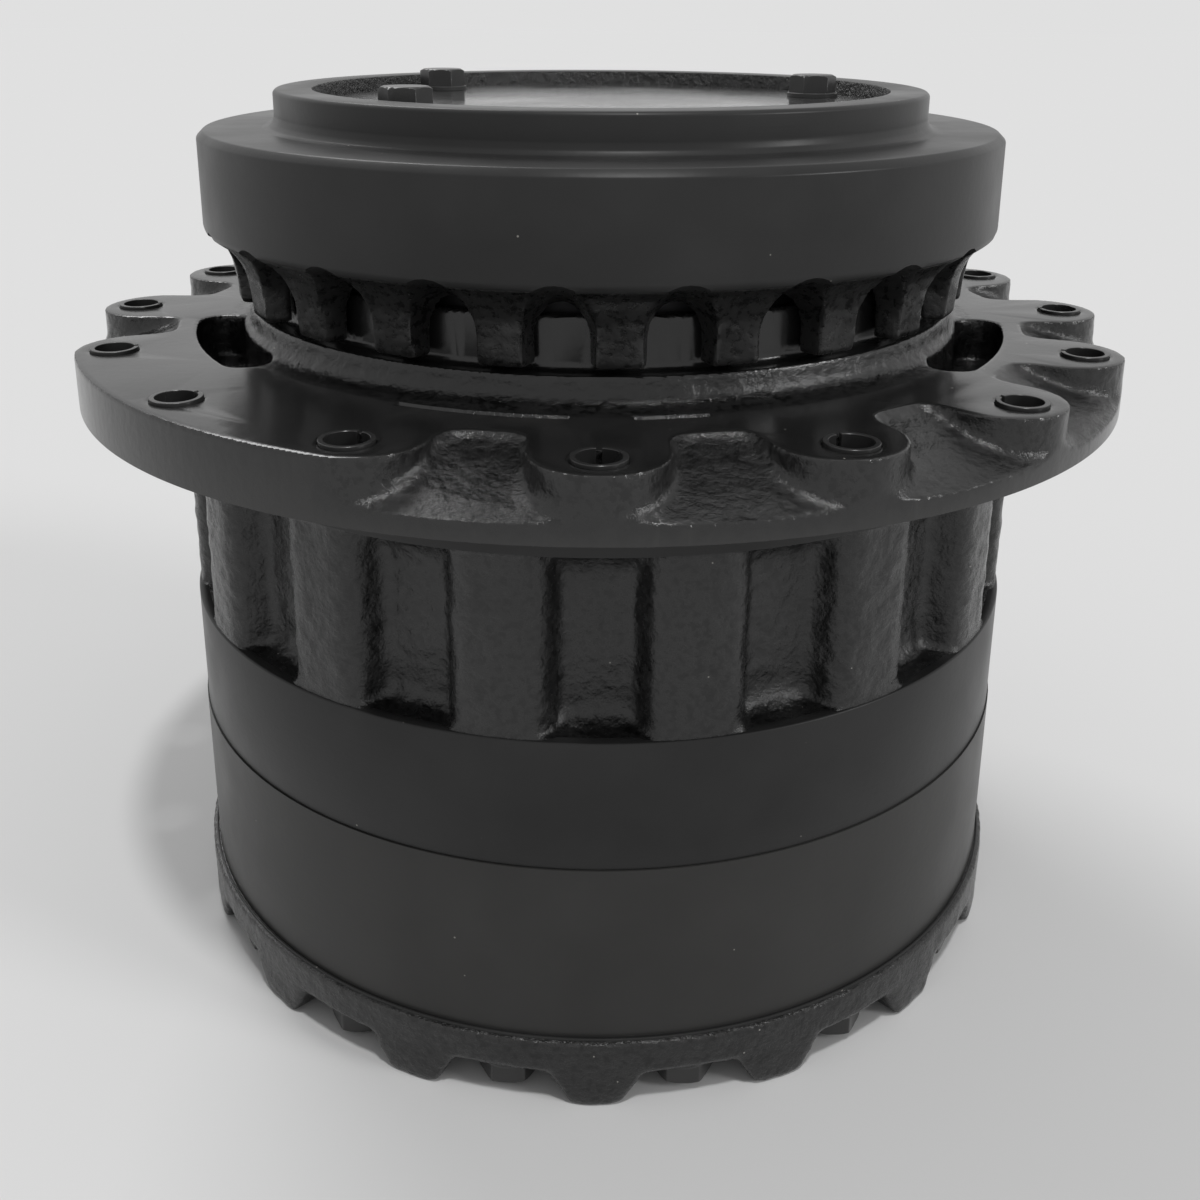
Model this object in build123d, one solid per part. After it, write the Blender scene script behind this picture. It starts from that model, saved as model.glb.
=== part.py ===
from build123d import *
import math
import os

# Travel gearbox of a large excavator: a fixed hub that bolts to the track frame, and a drum
# that turns on it and carries the drive sprocket. Two planetary stages share one ring gear.
# Millimetres, +Z up the axis. The part stands on the lugs of its end cover, at z = 0.

# Heights, stacked from the floor up
lug_height = 22.0             # lugs of the end cover, below its rim
cover_rim_height = 27.0
ring_gear_height = 118.0
drum_ring_height = 84.0       # smooth machined band above the ring gear
flute_height = 147.0          # columns and valleys under the flange
flange_thickness = 38.0
collar_height = 17.0          # cast collar round the foot of the seal collar
seal_collar_height = 40.0
seal_gap = 4.0                # open gap between the turning collar and the hub
skirt_clearance = 8.0         # from the collar's ledge up to the skirt's teeth
skirt_height = 44.0           # the hub's castellated mud skirt
hub_ring_height = 66.0
spigot_height = 25.0

# Walls, steps and widths, from the axis out
input_shaft_radius = 30.0
input_seal_width = 20.0
carrier_stub_wall = 45.0      # the output carrier's stub, which sits in the spindle
spindle_wall = 80.0
motor_bore_wall = 35.0        # the spindle's wall round the motor's bore
neck_step = 15.0              # shoulder that carries the upper inner bearing ring
bearing_section_width = 45.0
bearing_shoulder_width = 14.0  # ledges in the drum that carry the outer bearing rings
seal_step = 6.0
seal_ring_width = 22.0
seal_collar_wall = 10.0
collar_ledge_width = 13.0
collar_foot_width = 20.0
skirt_flare_width = 28.0      # from the skirt's foot out to the hub's ring
hub_face_width = 51.0         # the hub's ring outside the spigot
spigot_wall = 26.0
valley_wall = 54.0            # the drum's wall behind each valley
column_inset = 9.0            # outside of the columns, inside the valleys' centres
drum_ring_step = 1.0
ring_gear_step = 1.0
cover_step = 5.0
flange_reach = 65.0           # the flange outside the drum's smooth band

# Small details of the castings
edge = 2.0                    # small chamfer on machined corners
skirt_wall = 7.5
hub_chamfer = 4.5
spigot_root = 5.0             # slope where the spigot meets the hub's face
overcut = 3.0                 # how far a cutting shape reaches past a face

# Sprocket flange
sprocket_holes = 16
sprocket_margin = 25.0        # from the hole circle out to the flange's rim
sleeve_radius = 15.0
sleeve_wall = 3.0
sleeve_stand = 3.0            # how far each sleeve stands above the flange
sleeve_slit = 3.0
boss_radius = 36.0            # bolt seats left standing between the scalloped pockets
boss_shift = 5.0              # the seats' centres, inside the hole circle
pocket_length = 63.0          # from a pocket's inner edge out to the flange's rim
pocket_lip = 2.0              # depth of a pocket at its inner edge
pocket_depth = 23.0           # depth of a pocket at the flange's rim
plain_gaps = (-33.75, -56.25)  # no pocket here, degrees from the front
kidney_width = 38.0
kidney_depth = 30.0
kidney_middle = 67.5          # degrees from the front, on both sides
kidney_sweep = 31.0

# Flutes between the drum's columns
valley_radius = 34.0
column_rounding = 9.0

# Skirt of the hub
skirt_teeth = 24
skirt_first = -5.0            # middle of one arch, degrees from the front
arch_foot_width = 40.0
arch_width = 32.0
arch_bite = 3.0               # how far each arch reaches above the ring's lower edge
skirt_flare_hollow = 3.0      # how far the flared face lies inside a straight cone

# End cover
lug_top_width = 58.0
lug_foot_width = 33.0
cover_band_width = 48.0       # band under the rim that the bolt heads stand in
cover_wall = 25.0
cover_skirt_width = 22.0      # wall inside the band, down to half the lugs' height
cover_draft = 4.0
cover_chamfer = 3.0
cover_rib_count = 8
cover_rib_width = 14.0
cover_rib_depth = 8.0
rib_overlap = 4.0             # how far the ribs and lugs grow into what carries them
cover_boss_radius = 62.0
cover_boss_height = 17.0
plug_circle_radius = 150.0
plug_radius = 13.0
plug_flange_width = 5.0
plug_flange_height = 6.0
plug_socket_depth = 10.0
plug_bays = (0, 3, 5)         # bays between ribs that hold an oil plug
thrust_disc_radius = 70.0
thrust_disc_thickness = 4.0

# Fasteners
bolt_clearance = 1.0          # round a bolt in its through hole
hole_runout = 3.0             # a tapped hole is this much deeper than its bolt
cover_bolt_inset = 26.0       # from the bolt circle out to the cover's rim
cover_bolt_radius = 12.0
cover_bolt_grip = 40.0        # thread engaged in the drum
cover_bolt_flats = 36.0
cover_bolt_head = 17.0        # head and washer face
plate_bolt_margin = 35.0      # from the bolts out to the recess's wall
plate_bolt_radius = 10.0
plate_bolt_flats = 30.0
plate_bolt_head = 13.0
plate_washer_radius = 18.5
plate_washer_thickness = 3.0
plate_bolt_grip = 28.0
plate_bolt_places = (-48.0, 108.0, -131.0)  # degrees from the front
carrier_screw_radius = 10.0
carrier_screw_margin = 27.0   # from the screws out to the spindle's outside
carrier_screw_grip = 36.0
carrier_screw_head = 14.0
carrier_head_radius = 15.0
carrier_stub = 60.0           # length of the carrier's stub in the spindle

# Motor plate and the hub's inside
plate_thickness = 20.0
plate_sunk = 10.0             # below the spigot's rim
plate_clearance = 4.0
motor_bore_depth = 236.0
hub_floor_thickness = 30.0
seal_ring_height = 24.0

# Main bearings
bearing_recess = 57.0         # from the seal's seat down to the upper outer ring's back
cup_width = 36.0
cone_width = 40.0
cone_offset = 5.0
raceway_rise = 8.0            # taper of a raceway over the cup's width
roller_diameter = 18.0
roller_length = 28.0

# Gears, all of one module, stub teeth
pressure_angle = math.radians(20)
ring_teeth = 60
output_sun_teeth = 18
first_sun_teeth = 12
planet_count = 3
addendum_share = 0.8          # of the module
dedendum_share = 1.05
tooth_thinning = 0.3
gear_wall = 18.6              # ring gear's wall between tooth spaces and bolt holes
output_planet_width = 46.0
first_planet_width = 32.0
end_gap = 2.0                 # axial gap between gears and carriers
output_pin_radius = 34.0
first_pin_radius = 26.0
pin_wall = 15.0               # carrier plates outside the planets' pins
output_upper_plate = 29.0
output_lower_plate = 12.0
pillar_width = 56.0
pillar_margin = 26.0          # from the screws in to a pillar's inner side
pillar_inset = 10.0           # from the plates' rim to a pillar's outer side
first_plate = 14.0
sun_neck_radius = 60.0
sun_clearance = 4.0           # round the suns and the shaft where they pass through
input_shaft_length = 330.0
input_socket_depth = 60.0
running_fit = 0.05
seating_fit = 0.05

# Radii of hub, bearings and seal
input_seal_radius = input_shaft_radius + input_seal_width
spindle_bore_radius = input_seal_radius + carrier_stub_wall
spindle_radius = spindle_bore_radius + spindle_wall
motor_bore_radius = spindle_radius - motor_bore_wall
neck_radius = spindle_radius + neck_step
bearing_bore_radius = spindle_radius + bearing_section_width
drum_bore_radius = bearing_bore_radius - bearing_shoulder_width
seal_bore_radius = bearing_bore_radius + seal_step
seal_ring_inner = seal_bore_radius - seal_ring_width
seal_collar_radius = seal_bore_radius + seal_collar_wall
collar_radius = seal_collar_radius + collar_ledge_width
collar_foot_radius = collar_radius + collar_foot_width
hub_radius = collar_radius + skirt_flare_width
spigot_radius = hub_radius - hub_face_width
recess_radius = spigot_radius - spigot_wall
plate_bolt_circle_radius = recess_radius - plate_bolt_margin
carrier_screw_circle_radius = spindle_radius - carrier_screw_margin

# Radii of drum, flange and cover
valley_centre_radius = bearing_bore_radius + valley_wall + valley_radius
column_radius = valley_centre_radius - column_inset
drum_ring_radius = column_radius + drum_ring_step
ring_gear_radius = drum_ring_radius + ring_gear_step
cover_radius = ring_gear_radius + cover_step
cover_bolt_circle_radius = cover_radius - cover_bolt_inset
flange_radius = drum_ring_radius + flange_reach
sprocket_circle_radius = flange_radius - sprocket_margin
boss_centre_radius = sprocket_circle_radius - boss_shift
pocket_inner_radius = flange_radius - pocket_length
kidney_centre_radius = collar_radius + kidney_width / 2
drum_core_radius = bearing_bore_radius + valley_wall / 2

# Gear sizes, from the room inside the cover's bolts
tooth_root_radius = cover_bolt_circle_radius - cover_bolt_radius - bolt_clearance - gear_wall
gear_module = tooth_root_radius / (ring_teeth / 2 + dedendum_share)
addendum = addendum_share * gear_module
dedendum = dedendum_share * gear_module
output_planet_teeth = (ring_teeth - output_sun_teeth) // 2
first_planet_teeth = (ring_teeth - first_sun_teeth) // 2
output_planet_circle_radius = gear_module * (output_sun_teeth + output_planet_teeth) / 2
first_planet_circle_radius = gear_module * (first_sun_teeth + first_planet_teeth) / 2
output_plate_radius = output_planet_circle_radius + output_pin_radius + pin_wall
first_plate_radius = first_planet_circle_radius + first_pin_radius + pin_wall
pillar_inner_radius = carrier_screw_circle_radius - pillar_margin

# Levels that follow from the heights
z_rim = lug_height
z_joint = z_rim + cover_rim_height
z_gear_top = z_joint + ring_gear_height
z_shelf = z_gear_top + drum_ring_height
z_flange = z_shelf + flute_height
z_flange_top = z_flange + flange_thickness
z_ledge = z_flange_top + collar_height
z_collar_top = z_ledge + seal_collar_height
z_hub_under = z_collar_top + seal_gap
z_skirt = z_ledge + skirt_clearance
z_ring_under = z_skirt + skirt_height
z_hub_face = z_ring_under + hub_ring_height
z_top = z_hub_face + spigot_height
z_plate_top = z_top - plate_sunk
z_plate_seat = z_plate_top - plate_thickness
z_motor_floor = z_plate_seat - motor_bore_depth
z_floor_under = z_motor_floor - hub_floor_thickness
z_seal_face = (z_collar_top + z_hub_under) / 2
z_seal_seat = z_seal_face - seal_ring_height - seal_gap
z_plate_under = z_joint - cover_wall

# Levels of the gear stages, from the end cover up
z_first_planets = z_joint + thrust_disc_thickness + end_gap
z_first_plate = z_first_planets + first_planet_width + end_gap
z_lower_plate = z_first_plate + first_plate + end_gap
z_output_planets = z_lower_plate + output_lower_plate + end_gap
z_upper_plate = z_output_planets + output_planet_width + end_gap
z_spindle_end = z_upper_plate + output_upper_plate
z_screw_seat = z_lower_plate + bolt_clearance + carrier_screw_head
z_lower_back = z_spindle_end + cone_offset + cone_width
z_upper_back = z_seal_seat - bearing_recess
z_neck = z_upper_back + cone_offset + cone_width

# Directions round the axis, in degrees from +X
front = -90.0
sprocket_step = 360 / sprocket_holes
hole_angles = [front + sprocket_step * i for i in range(sprocket_holes)]
column_angles = [angle + sprocket_step / 2 for angle in hole_angles]
output_planet_angles = [90 + 360 / planet_count * i for i in range(planet_count)]
first_planet_angles = [front + 360 / planet_count * i for i in range(planet_count)]
pillar_angles = [angle + 180 / planet_count for angle in output_planet_angles]


def polar(radius, angle):
    return (radius * math.cos(math.radians(angle)), radius * math.sin(math.radians(angle)))


def turned(*points):
    # A ring or disc from its half section, given as (radius, height) corners.
    return revolve(Plane.XZ * make_face(Polyline(*points, close=True)), Axis.Z)


def ring(inner, outer, low, high):
    return turned((inner, low), (outer, low), (outer, high), (inner, high))


def rod(radius, low, high, place=(0, 0)):
    return Pos(place[0], place[1], (low + high) / 2) * Cylinder(radius, high - low)


def all_round(shape, angles):
    # Copies of a shape modelled on the +X side, one for each angle.
    return [Rot(0, 0, angle) * shape for angle in angles]


def hexagon_rod(flats, low, high, place):
    outline = RegularPolygon(flats / math.sqrt(3), 6)
    return Pos(place[0], place[1], low) * extrude(outline, high - low)


def save(name, shape):
    solids = shape if isinstance(shape, list) else [shape]
    export_step(Compound(children=list(solids)) if len(solids) > 1 else solids[0],
                f"parts/{name}.step")


def involute(angle):
    return math.tan(angle) - angle


def tooth_half_angle(teeth, width, radius):
    # Half the angle that a tooth fills at a radius, from its width on the pitch circle.
    pitch_radius = gear_module * teeth / 2
    base_radius = pitch_radius * math.cos(pressure_angle)
    roll = math.acos(base_radius / max(radius, base_radius))
    return math.degrees(width / (2 * pitch_radius) + involute(pressure_angle) - involute(roll))


def tooth_outline(teeth, low_radius, high_radius, width, first_tooth):
    # The outline of a toothed wheel. Each flank has three points of its involute.
    pitch_radius = gear_module * teeth / 2
    radii = (low_radius, pitch_radius, high_radius)
    points = []
    for i in range(teeth):
        middle = first_tooth + 360 / teeth * i
        rising = [(r, middle - tooth_half_angle(teeth, width, r)) for r in radii]
        falling = [(r, middle + tooth_half_angle(teeth, width, r)) for r in reversed(radii)]
        points += [polar(radius, angle) for radius, angle in rising + falling]
    return make_face(Polyline(*points, close=True))


def spur_gear(teeth, first_tooth, low, high, place=(0, 0)):
    pitch_radius = gear_module * teeth / 2
    width = math.pi * gear_module / 2 - tooth_thinning
    face = tooth_outline(teeth, pitch_radius - dedendum, pitch_radius + addendum, width,
                         first_tooth)
    return Pos(place[0], place[1], low) * extrude(face, high - low)


def sun_phase(sun_teeth, planet_teeth, planet_angle):
    # The sun's tooth that lets a planet mesh with it and with a ring tooth at angle 0.
    turns = planet_angle * (sun_teeth + ring_teeth) / 360 + planet_teeth / 2
    return 360 / sun_teeth * turns


def planet_phase(sun_teeth, planet_teeth, planet_angle, sun_tooth):
    # The planet's tooth that meshes with the sun on the line between their centres.
    sun_fraction = (planet_angle - sun_tooth) * sun_teeth / 360
    return planet_angle + 180 - 360 / planet_teeth * (0.5 - sun_fraction)


def skirt_arch():
    # One gap of the skirt: narrower upwards, with a round top, through the wall on +X.
    spring = z_ring_under + arch_bite - arch_width / 2
    foot = z_skirt - skirt_clearance / 2
    sides = Polyline((-arch_width / 2, spring), (-arch_foot_width / 2, foot),
                     (arch_foot_width / 2, foot), (arch_width / 2, spring))
    crown = ThreePointArc((arch_width / 2, spring), (0, spring + arch_width / 2),
                          (-arch_width / 2, spring))
    inner = seal_collar_radius
    face = Plane.YZ * make_face(sides + crown)
    return Pos(inner, 0, 0) * extrude(face, hub_radius - inner + skirt_wall)


def hub_section():
    skirt_outer = collar_radius
    skirt_inner = skirt_outer - skirt_wall
    groove_roof = z_seal_face + seal_ring_height + seal_gap
    skirt_foot = z_skirt + skirt_clearance / 2
    points = [
        (skirt_outer, skirt_foot),
        ((skirt_outer + hub_radius) / 2 - skirt_flare_hollow, (skirt_foot + z_ring_under) / 2),
        (hub_radius, z_ring_under),
        (hub_radius, z_hub_face - hub_chamfer),
        (hub_radius - hub_chamfer, z_hub_face),
        (spigot_radius + spigot_root, z_hub_face),
        (spigot_radius, z_hub_face + spigot_root),
        (spigot_radius, z_top - edge),
        (spigot_radius - edge, z_top),
        (recess_radius, z_top),
        (recess_radius, z_plate_seat),
        (motor_bore_radius, z_plate_seat),
        (motor_bore_radius, z_motor_floor),
        (input_seal_radius, z_motor_floor),
        (input_seal_radius, z_floor_under),
        (spindle_bore_radius, z_floor_under),
        (spindle_bore_radius, z_spindle_end),
        (spindle_radius, z_spindle_end),
        (spindle_radius, z_neck),
        (neck_radius, z_neck),
        (neck_radius, groove_roof),
        (seal_bore_radius, groove_roof),
        (seal_bore_radius, z_hub_under),
        (skirt_inner, z_hub_under),
        (skirt_inner, z_skirt),
        (skirt_outer, z_skirt),
    ]
    return points


def hub_spindle():
    hub = turned(*hub_section())
    arch_angles = [front + skirt_first + 360 / skirt_teeth * i for i in range(skirt_teeth)]
    tools = all_round(skirt_arch(), arch_angles)
    for angle in plate_bolt_places:
        place = polar(plate_bolt_circle_radius, front + angle)
        low = z_plate_seat - plate_bolt_grip - hole_runout
        tools.append(rod(plate_bolt_radius + seating_fit, low, z_plate_seat, place))
    for place in carrier_screw_places():
        high = z_spindle_end + carrier_screw_grip + hole_runout
        tools.append(rod(carrier_screw_radius + seating_fit, z_spindle_end, high, place))
    return hub - tools


def motor_plate():
    plate = rod(recess_radius - plate_clearance, z_plate_seat, z_plate_top)
    plate = chamfer(plate.edges().group_by(Axis.Z)[-1], edge)
    holes = [rod(plate_bolt_radius + bolt_clearance, z_plate_seat, z_plate_top,
                 polar(plate_bolt_circle_radius, front + angle)) for angle in plate_bolt_places]
    return plate - holes


def motor_plate_bolts():
    # Tall hexagon bolts, each on its washer.
    bolts = []
    for angle in plate_bolt_places:
        place = polar(plate_bolt_circle_radius, front + angle)
        z_head = z_plate_top + plate_washer_thickness
        bolt = rod(plate_bolt_radius, z_plate_seat - plate_bolt_grip, z_plate_top, place)
        bolt += rod(plate_washer_radius, z_plate_top, z_head, place)
        bolt += hexagon_rod(plate_bolt_flats, z_head, z_head + plate_bolt_head, place)
        bolts.append(bolt)
    return bolts


def fluted_section():
    # The drum's outline between flange and band: round columns with scooped valleys between.
    scoops = [Pos(*polar(valley_centre_radius, angle)) * Circle(valley_radius)
              for angle in hole_angles]
    outline = Circle(column_radius) - scoops
    rounded = fillet(outline.vertices(), column_rounding)
    return rounded - Circle(bearing_bore_radius)


def drum_section():
    points = [
        (seal_bore_radius, z_collar_top),
        (seal_bore_radius, z_seal_seat),
        (bearing_bore_radius, z_seal_seat),
        (bearing_bore_radius, z_upper_back),
        (drum_bore_radius, z_upper_back),
        (drum_bore_radius, z_lower_back),
        (bearing_bore_radius, z_lower_back),
        (bearing_bore_radius, z_spindle_end),
        (tooth_root_radius, z_spindle_end),
        (tooth_root_radius, z_gear_top),
        (drum_ring_radius, z_gear_top),
        (drum_ring_radius, z_shelf - edge / 2),
        (drum_ring_radius - edge / 2, z_shelf),
        (drum_core_radius, z_shelf),
        (drum_core_radius, z_flange),
        (flange_radius - edge, z_flange),
        (flange_radius, z_flange + edge),
        (flange_radius, z_flange_top - edge),
        (flange_radius - edge, z_flange_top),
        (collar_foot_radius, z_flange_top),
        (collar_radius, z_ledge - collar_height / 4),
        (collar_radius, z_ledge),
        (seal_collar_radius, z_ledge),
        (seal_collar_radius, z_collar_top),
    ]
    return points


def scallop_pockets():
    # Sloping pockets between the bolt seats. They start as one ring with a conical floor,
    # which the seats divide.
    reach = flange_radius + overcut
    slope = (pocket_depth - pocket_lip) / (flange_radius - pocket_inner_radius)
    rim_floor = z_flange_top - pocket_lip - slope * (reach - pocket_inner_radius)
    above = z_flange_top + overcut
    cone = turned((pocket_inner_radius, z_flange_top - pocket_lip), (reach, rim_floor),
                  (reach, above), (pocket_inner_radius, above))
    seat_length = boss_centre_radius - pocket_inner_radius + boss_radius
    seat = rod(boss_radius, z_flange, above, (boss_centre_radius, 0))
    seat += Pos(boss_centre_radius - seat_length / 2, 0, (z_flange + above) / 2) * Box(
        seat_length, 2 * boss_radius, above - z_flange)
    pockets = (cone - all_round(seat, hole_angles)).solids()
    return [pocket for pocket in pockets if not near_plain_gap(pocket)]


def near_plain_gap(pocket):
    centre = pocket.center()
    distances = [math.dist(polar(boss_centre_radius, front + gap), (centre.X, centre.Y))
                 for gap in plain_gaps]
    return min(distances) < boss_radius


def kidney_pocket(middle):
    arc = CenterArc((0, 0), kidney_centre_radius, middle - kidney_sweep / 2, kidney_sweep)
    outline = SlotArc(arc, kidney_width)
    low = z_flange_top - kidney_depth
    return Pos(0, 0, low) * extrude(outline, z_ledge + overcut - low)


def drum():
    body = turned(*drum_section())
    body += Pos(0, 0, z_shelf) * extrude(fluted_section(), flute_height)
    tools = scallop_pockets()
    tools += [kidney_pocket(front + side * kidney_middle) for side in (-1, 1)]
    for angle in hole_angles:
        place = polar(sprocket_circle_radius, angle)
        tools.append(rod(sleeve_radius, z_flange, z_flange_top, place))
    for angle in column_angles:
        place = polar(cover_bolt_circle_radius, angle)
        high = z_gear_top + cover_bolt_grip + hole_runout
        tools.append(rod(cover_bolt_radius + seating_fit, z_gear_top, high, place))
    return body - tools


def flange_sleeves():
    # Split spring sleeves that line the sprocket's bolt holes, slit towards the axis.
    high = z_flange_top + sleeve_stand
    sleeve = ring(sleeve_radius - sleeve_wall, sleeve_radius, z_flange, high)
    slit = Pos(-sleeve_radius, 0, (z_flange + high) / 2) * Box(
        sleeve_radius, sleeve_slit, high - z_flange)
    return all_round(Pos(sprocket_circle_radius, 0, 0) * (sleeve - slit), hole_angles)


def ring_gear():
    pitch_radius = gear_module * ring_teeth / 2
    space_width = math.pi * gear_module / 2 + tooth_thinning
    bore = tooth_outline(ring_teeth, pitch_radius - addendum, pitch_radius + dedendum,
                         space_width, 180 / ring_teeth)
    face = Circle(ring_gear_radius) - bore
    face -= [Pos(*polar(cover_bolt_circle_radius, angle))
             * Circle(cover_bolt_radius + bolt_clearance) for angle in column_angles]
    return Pos(0, 0, z_joint) * extrude(face, ring_gear_height)


def cover_lug():
    outline = Polyline((-lug_top_width / 2, z_rim), (lug_top_width / 2, z_rim),
                       (lug_foot_width / 2, 0), (-lug_foot_width / 2, 0), close=True)
    inner = cover_radius - cover_band_width - rib_overlap
    length = cover_band_width + rib_overlap + overcut
    lug = Pos(inner, 0, 0) * extrude(Plane.YZ * make_face(outline), length)
    return lug & rod(cover_radius, 0, z_rim)


def end_cover():
    # A ribbed dish: the rim with its lugs, a skirt wall inside the bolts, and a boss.
    band = cover_radius - cover_band_width
    skirt = band - cover_skirt_width
    z_boss = z_plate_under - cover_boss_height
    cover = turned(
        (0, z_boss),
        (cover_boss_radius, z_boss),
        (cover_boss_radius, z_plate_under),
        (skirt - cover_draft, z_plate_under),
        (skirt, z_rim / 2),
        (band, z_rim / 2),
        (band, z_rim),
        (cover_radius - cover_chamfer, z_rim),
        (cover_radius, z_rim + cover_chamfer),
        (cover_radius, z_joint - edge / 2),
        (cover_radius - edge / 2, z_joint),
        (0, z_joint),
    )
    rib_angles = [front + 360 / cover_rib_count * (i + 0.5) for i in range(cover_rib_count)]
    cover += all_round(cover_lug(), hole_angles) + all_round(cover_rib(), rib_angles)
    tools = [rod(cover_bolt_radius + bolt_clearance, z_rim, z_joint,
                 polar(cover_bolt_circle_radius, angle)) for angle in column_angles]
    tools += [rod(plug_radius + seating_fit, z_plate_under, z_joint, place)
              for place in plug_places()]
    return cover - tools


def cover_rib():
    inner = cover_boss_radius - rib_overlap
    outer = cover_radius - cover_band_width - cover_skirt_width + rib_overlap
    height = cover_rib_depth + rib_overlap
    middle = ((inner + outer) / 2, 0, z_plate_under - cover_rib_depth + height / 2)
    return Pos(*middle) * Box(outer - inner, cover_rib_width, height)


def plug_places():
    return [polar(plug_circle_radius, front + 360 / cover_rib_count * bay)
            for bay in plug_bays]


def cover_plugs():
    # Oil plugs with a flanged head and a hexagon socket, screwed in from below.
    plugs = []
    z_head = z_plate_under - plug_flange_height
    for place in plug_places():
        plug = rod(plug_radius, z_plate_under, z_joint - hole_runout, place)
        plug += rod(plug_radius + plug_flange_width, z_head, z_plate_under, place)
        plug -= hexagon_rod(plug_radius, z_head, z_head + plug_socket_depth, place)
        plugs.append(plug)
    return plugs


def cover_bolts():
    # Bolts that pass up through cover and ring gear into the drum's columns.
    bolts = []
    for angle in column_angles:
        place = polar(cover_bolt_circle_radius, angle)
        bolt = rod(cover_bolt_radius, z_rim, z_gear_top + cover_bolt_grip, place)
        bolt += hexagon_rod(cover_bolt_flats, z_rim - cover_bolt_head, z_rim, place)
        bolts.append(bolt)
    return bolts


def thrust_disc():
    return rod(thrust_disc_radius, z_joint, z_joint + thrust_disc_thickness)


def raceway_radius(along):
    # Radius of an outer raceway, a distance along from the ring's back.
    return drum_bore_radius + raceway_rise * along / cup_width


def bearing_outer_rings():
    rings = []
    for back, way in ((z_lower_back, -1), (z_upper_back, 1)):
        front_face = back + way * cup_width
        rings.append(turned((bearing_bore_radius, back), (bearing_bore_radius, front_face),
                            (raceway_radius(cup_width), front_face),
                            (raceway_radius(0), back)))
    return rings


def raceway_slope():
    return math.degrees(math.atan2(raceway_rise, cup_width))


def bearing_inner_rings():
    drop = (roller_diameter + 2 * running_fit) / math.cos(math.radians(raceway_slope()))
    far = cone_offset + cone_width
    rings = []
    for back, way in ((z_lower_back, -1), (z_upper_back, 1)):
        rings.append(turned((spindle_radius, back + way * cone_offset),
                            (spindle_radius, back + way * far),
                            (raceway_radius(far) - drop, back + way * far),
                            (raceway_radius(cone_offset) - drop, back + way * cone_offset)))
    return rings


def bearing_roller_sets():
    # The rollers of each bearing and their cage, drawn as one closed ring per bearing.
    lean = math.radians(raceway_slope())
    thickness = roller_diameter / math.cos(lean)
    gap = running_fit / math.cos(lean)
    low = (cup_width - roller_length) / 2 + cone_offset / 2
    high = low + roller_length
    sets = []
    for back, way in ((z_lower_back, -1), (z_upper_back, 1)):
        sets.append(turned((raceway_radius(low) - gap, back + way * low),
                           (raceway_radius(high) - gap, back + way * high),
                           (raceway_radius(high) - gap - thickness, back + way * high),
                           (raceway_radius(low) - gap - thickness, back + way * low)))
    return sets


def turning_seal_ring():
    # Lapped ring of the floating face seal with its rubber ring round it, in the drum.
    return ring(seal_ring_inner, seal_bore_radius, z_seal_face - seal_ring_height,
                z_seal_face - running_fit)


def fixed_seal_ring():
    return ring(seal_ring_inner, seal_bore_radius, z_seal_face,
                z_seal_face + seal_ring_height)


def carrier_screw_places():
    return [polar(carrier_screw_circle_radius, angle) for angle in pillar_angles]


def output_carrier():
    # Cage that holds the output planets. Its stub sits in the spindle's splined bore.
    sun_hole = gear_module * output_sun_teeth / 2 + addendum + sun_clearance
    carrier = turned((input_seal_radius, z_upper_plate),
                     (output_plate_radius, z_upper_plate),
                     (output_plate_radius, z_spindle_end),
                     (spindle_bore_radius, z_spindle_end),
                     (spindle_bore_radius, z_spindle_end + carrier_stub),
                     (input_seal_radius, z_spindle_end + carrier_stub))
    carrier += ring(sun_hole, output_plate_radius, z_lower_plate,
                    z_lower_plate + output_lower_plate)
    pillar_length = output_plate_radius - pillar_inset - pillar_inner_radius
    pillar_height = z_upper_plate - z_lower_plate - output_lower_plate
    pillar = Pos(pillar_inner_radius + pillar_length / 2, 0,
                 z_upper_plate - pillar_height / 2) * Box(
        pillar_length, pillar_width, pillar_height)
    carrier += all_round(pillar, pillar_angles)
    tools = [rod(output_pin_radius, z_lower_plate, z_spindle_end,
                 polar(output_planet_circle_radius, angle)) for angle in output_planet_angles]
    for place in carrier_screw_places():
        tools.append(rod(carrier_screw_radius + bolt_clearance, z_lower_plate,
                         z_spindle_end, place))
        tools.append(rod(carrier_head_radius + bolt_clearance, z_lower_plate,
                         z_screw_seat, place))
    return carrier - tools


def carrier_screws():
    # Socket screws through the carrier's pillars into the spindle's end.
    screws = []
    for place in carrier_screw_places():
        screw = rod(carrier_screw_radius, z_screw_seat, z_spindle_end + carrier_screw_grip,
                    place)
        screw += rod(carrier_head_radius, z_screw_seat - carrier_screw_head, z_screw_seat,
                     place)
        screws.append(screw)
    return screws


def output_planet_pins():
    return [rod(output_pin_radius, z_lower_plate, z_spindle_end,
                polar(output_planet_circle_radius, angle)) for angle in output_planet_angles]


def output_planet(angle):
    sun_tooth = sun_phase(output_sun_teeth, output_planet_teeth, output_planet_angles[0])
    phase = planet_phase(output_sun_teeth, output_planet_teeth, angle, sun_tooth)
    place = polar(output_planet_circle_radius, angle)
    high = z_output_planets + output_planet_width
    gear = spur_gear(output_planet_teeth, phase, z_output_planets, high, place)
    return gear - rod(output_pin_radius + running_fit, z_output_planets, high, place)


def output_sun():
    # Sun of the output stage, with the neck that the first carrier is splined on.
    phase = sun_phase(output_sun_teeth, output_planet_teeth, output_planet_angles[0])
    low = z_output_planets - end_gap
    high = z_output_planets + output_planet_width
    sun = spur_gear(output_sun_teeth, phase, low, high)
    sun += rod(sun_neck_radius, z_first_plate, low)
    return sun - rod(input_shaft_radius + sun_clearance, z_first_plate, high)


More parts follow.
